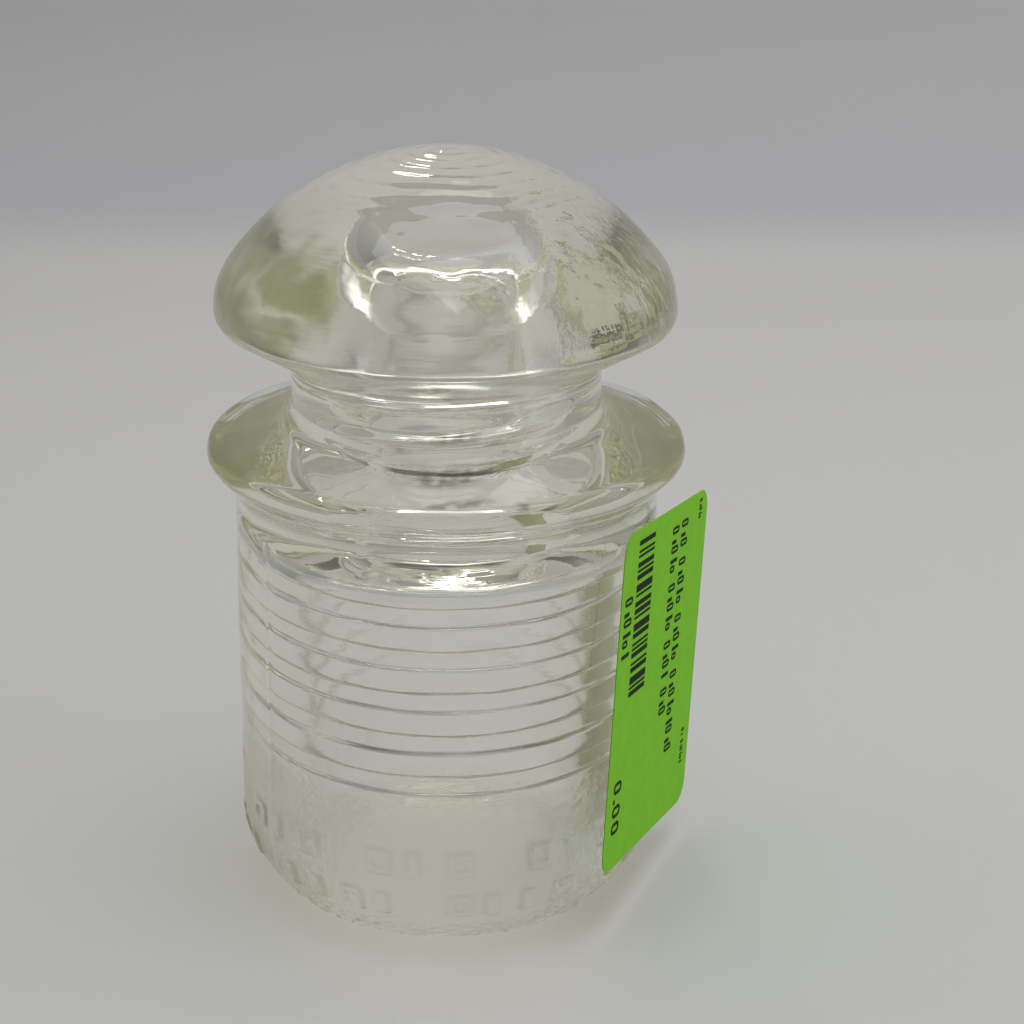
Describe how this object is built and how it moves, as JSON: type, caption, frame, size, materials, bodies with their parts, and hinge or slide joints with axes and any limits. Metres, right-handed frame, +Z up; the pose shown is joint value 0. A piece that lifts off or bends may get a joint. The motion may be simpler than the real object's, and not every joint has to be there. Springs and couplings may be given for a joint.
{
  "type": "line insulator",
  "caption": "Clear pressed-glass pin-type wire insulator: domed crown, wire groove, flange and hollow ringed skirt under a threaded blind pin hole, with a green paper price label.",
  "frame": {"origin": "on the glass body's turning axis, in the plane of its foot ring", "axes": "+Z up along the turning axis from the foot to the crown; -Y is the side seen from the front; the label touches the skirt 65.5 degrees round from -Y towards +X"},
  "size_m": [0.0618, 0.0574, 0.092],
  "materials": {
    "clear_glass": "clear pressed borosilicate glass, faint yellow-green where it is thick, fire polished",
    "adhesive": "pressure-sensitive adhesive film",
    "green_paper": "coated label paper, lime green",
    "black_print": "thermal print"
  },
  "bodies": {
    "root": {"glass_body": "clear_glass", "label_adhesive": "adhesive", "label_paper": "green_paper", "print_barcode": "black_print", "print_lines": "black_print", "print_price": "black_print"}
  },
  "joints": []
}
